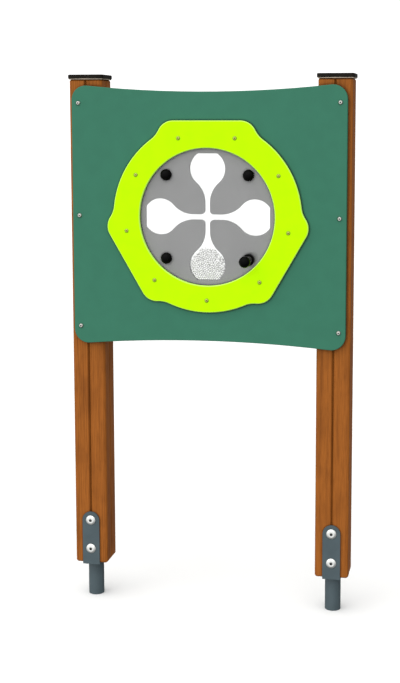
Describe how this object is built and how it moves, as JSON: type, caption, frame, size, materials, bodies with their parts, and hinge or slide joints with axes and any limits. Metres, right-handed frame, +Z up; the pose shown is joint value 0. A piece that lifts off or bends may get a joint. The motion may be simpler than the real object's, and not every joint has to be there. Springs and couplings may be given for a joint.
{
  "type": "playground bead wheel panel",
  "caption": "Playground play panel on timber posts, with a hand-turned see-through bead wheel set in a bright eared ring.",
  "frame": {"origin": "midway between the two ground tubes on their centre plane, level with their lower ends", "axes": "+Z up along the posts, X across the panel, -Y out of the panel's front, where the ball handle nearest the viewer stands"},
  "size_m": [0.8066, 0.2145, 1.5205],
  "materials": {
    "post_timber": "oiled and stained glued-laminated pine",
    "cap_plastic": "moulded, satin",
    "gasket_foam": "closed-cell foam, matt",
    "foot_paint": "galvanised and powder coated, satin",
    "panel_green": "fine-grained polyethylene sheet",
    "ring_lime": "fine-grained polyethylene sheet",
    "core_grey": "fine-grained polyethylene sheet",
    "pane_clear": "clear polycarbonate sheet",
    "bead_white": "small loose plastic beads",
    "cover_nylon": "moulded nylon",
    "grip_plastic": "polished moulded phenolic",
    "zinc_steel": "bright zinc plated",
    "yellow_zinc": "yellow passivated zinc plated",
    "stainless_steel": "stainless steel, satin"
  },
  "bodies": {
    "frame": {"front_ring": "ring_lime", "left_cap_gasket": "gasket_foam", "left_foot_bolts": "zinc_steel", "left_foot_nuts": "zinc_steel", "left_foot_shoe": "foot_paint", "left_foot_washers": "zinc_steel", "left_ground_tube": "foot_paint", "left_post": "post_timber", "left_post_cap": "cap_plastic", "main_panel": "panel_green", "panel_screws": "stainless_steel", "post_cap_screws": "zinc_steel", "rear_ring": "ring_lime", "right_cap_gasket": "gasket_foam", "right_foot_bolts": "zinc_steel", "right_foot_nuts": "zinc_steel", "right_foot_shoe": "foot_paint", "right_foot_washers": "zinc_steel", "right_ground_tube": "foot_paint", "right_post": "post_timber", "right_post_cap": "cap_plastic", "ring_bolts": "yellow_zinc", "ring_nuts": "yellow_zinc"},
    "wheel": {"bead_charge": "bead_white", "clamp_bolts": "zinc_steel", "clamp_nuts": "zinc_steel", "cover_base_washers": "cover_nylon", "front_cover_bottom_left": "cover_nylon", "front_cover_top_left": "cover_nylon", "front_cover_top_right": "cover_nylon", "front_grip_screw": "stainless_steel", "front_handle_cup": "cover_nylon", "front_handle_stud": "stainless_steel", "front_handle_washer": "stainless_steel", "front_pane": "pane_clear", "rear_cover_bottom_left": "cover_nylon", "rear_cover_bottom_right": "cover_nylon", "rear_cover_top_right": "cover_nylon", "rear_grip_screw": "stainless_steel", "rear_handle_cup": "cover_nylon", "rear_handle_stud": "stainless_steel", "rear_handle_washer": "stainless_steel", "rear_pane": "pane_clear", "wheel_core": "core_grey"},
    "front_grip": {"front_ball_grip": "grip_plastic", "front_grip_plug": "grip_plastic"},
    "rear_grip": {"rear_ball_grip": "grip_plastic", "rear_grip_plug": "grip_plastic"}
  },
  "joints": [
    {"name": "wheel_spin", "type": "hinge", "parent": "frame", "child": "wheel", "pos_m": [0, -0.057, 1.12625], "axis": [0, -1, 0], "continuous": true},
    {"name": "front_grip_spin", "type": "hinge", "parent": "wheel", "child": "front_grip", "pos_m": [0.11646, -0.128, 1.00979], "axis": [0, -1, 0], "continuous": true},
    {"name": "rear_grip_spin", "type": "hinge", "parent": "wheel", "child": "rear_grip", "pos_m": [-0.11646, 0.014, 1.24271], "axis": [0, 1, 0], "continuous": true}
  ]
}
